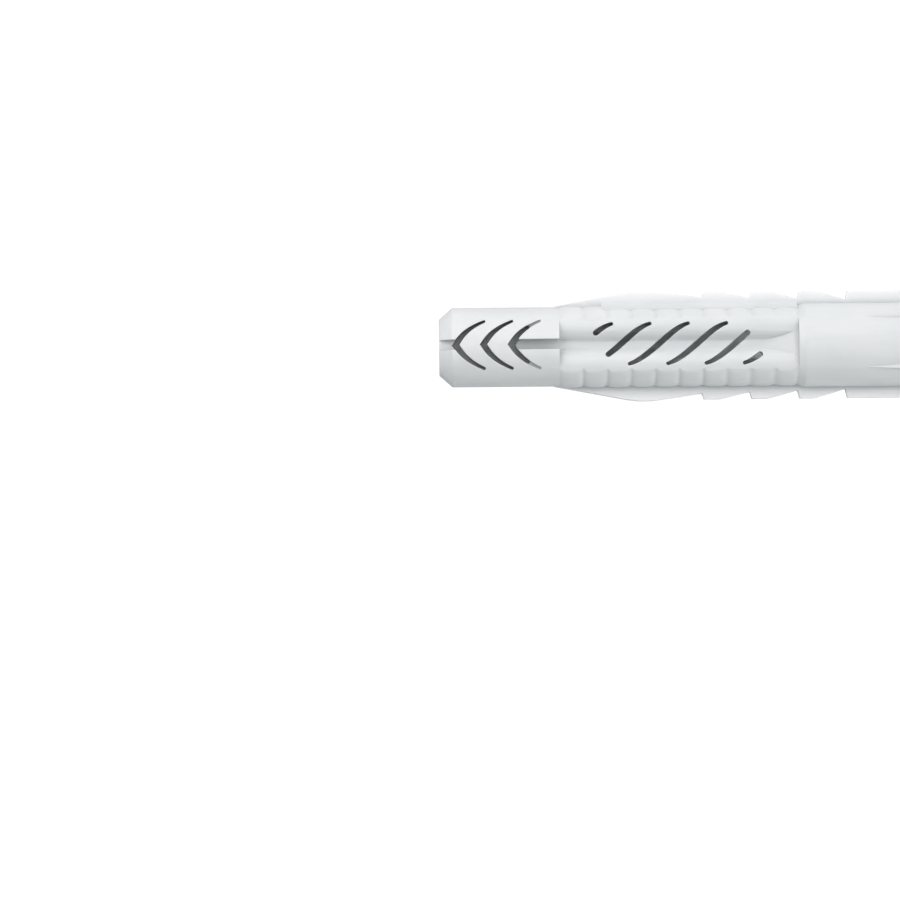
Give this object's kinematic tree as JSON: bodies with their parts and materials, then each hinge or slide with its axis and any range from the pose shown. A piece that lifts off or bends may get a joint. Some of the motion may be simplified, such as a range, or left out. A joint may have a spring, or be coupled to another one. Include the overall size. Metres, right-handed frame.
{
  "type": "universal wall plug",
  "caption": "Moulded nylon wall plug with a stepped screw bore, barbed fins, ribbed sides, chevron and S-shaped slots, for fixing a screw in masonry.",
  "frame": {"origin": "on the plug's axis at the mouth face, the end where the screw goes in", "axes": "+Z along the axis from the mouth to the tip, +X across the two fins, -Y out of the front face"},
  "size_m": [0.0138, 0.0106, 0.061],
  "materials": {
    "nylon": "light grey moulded nylon with a soft satin sheen"
  },
  "bodies": {
    "root": {"wall_plug": "nylon"}
  },
  "joints": []
}
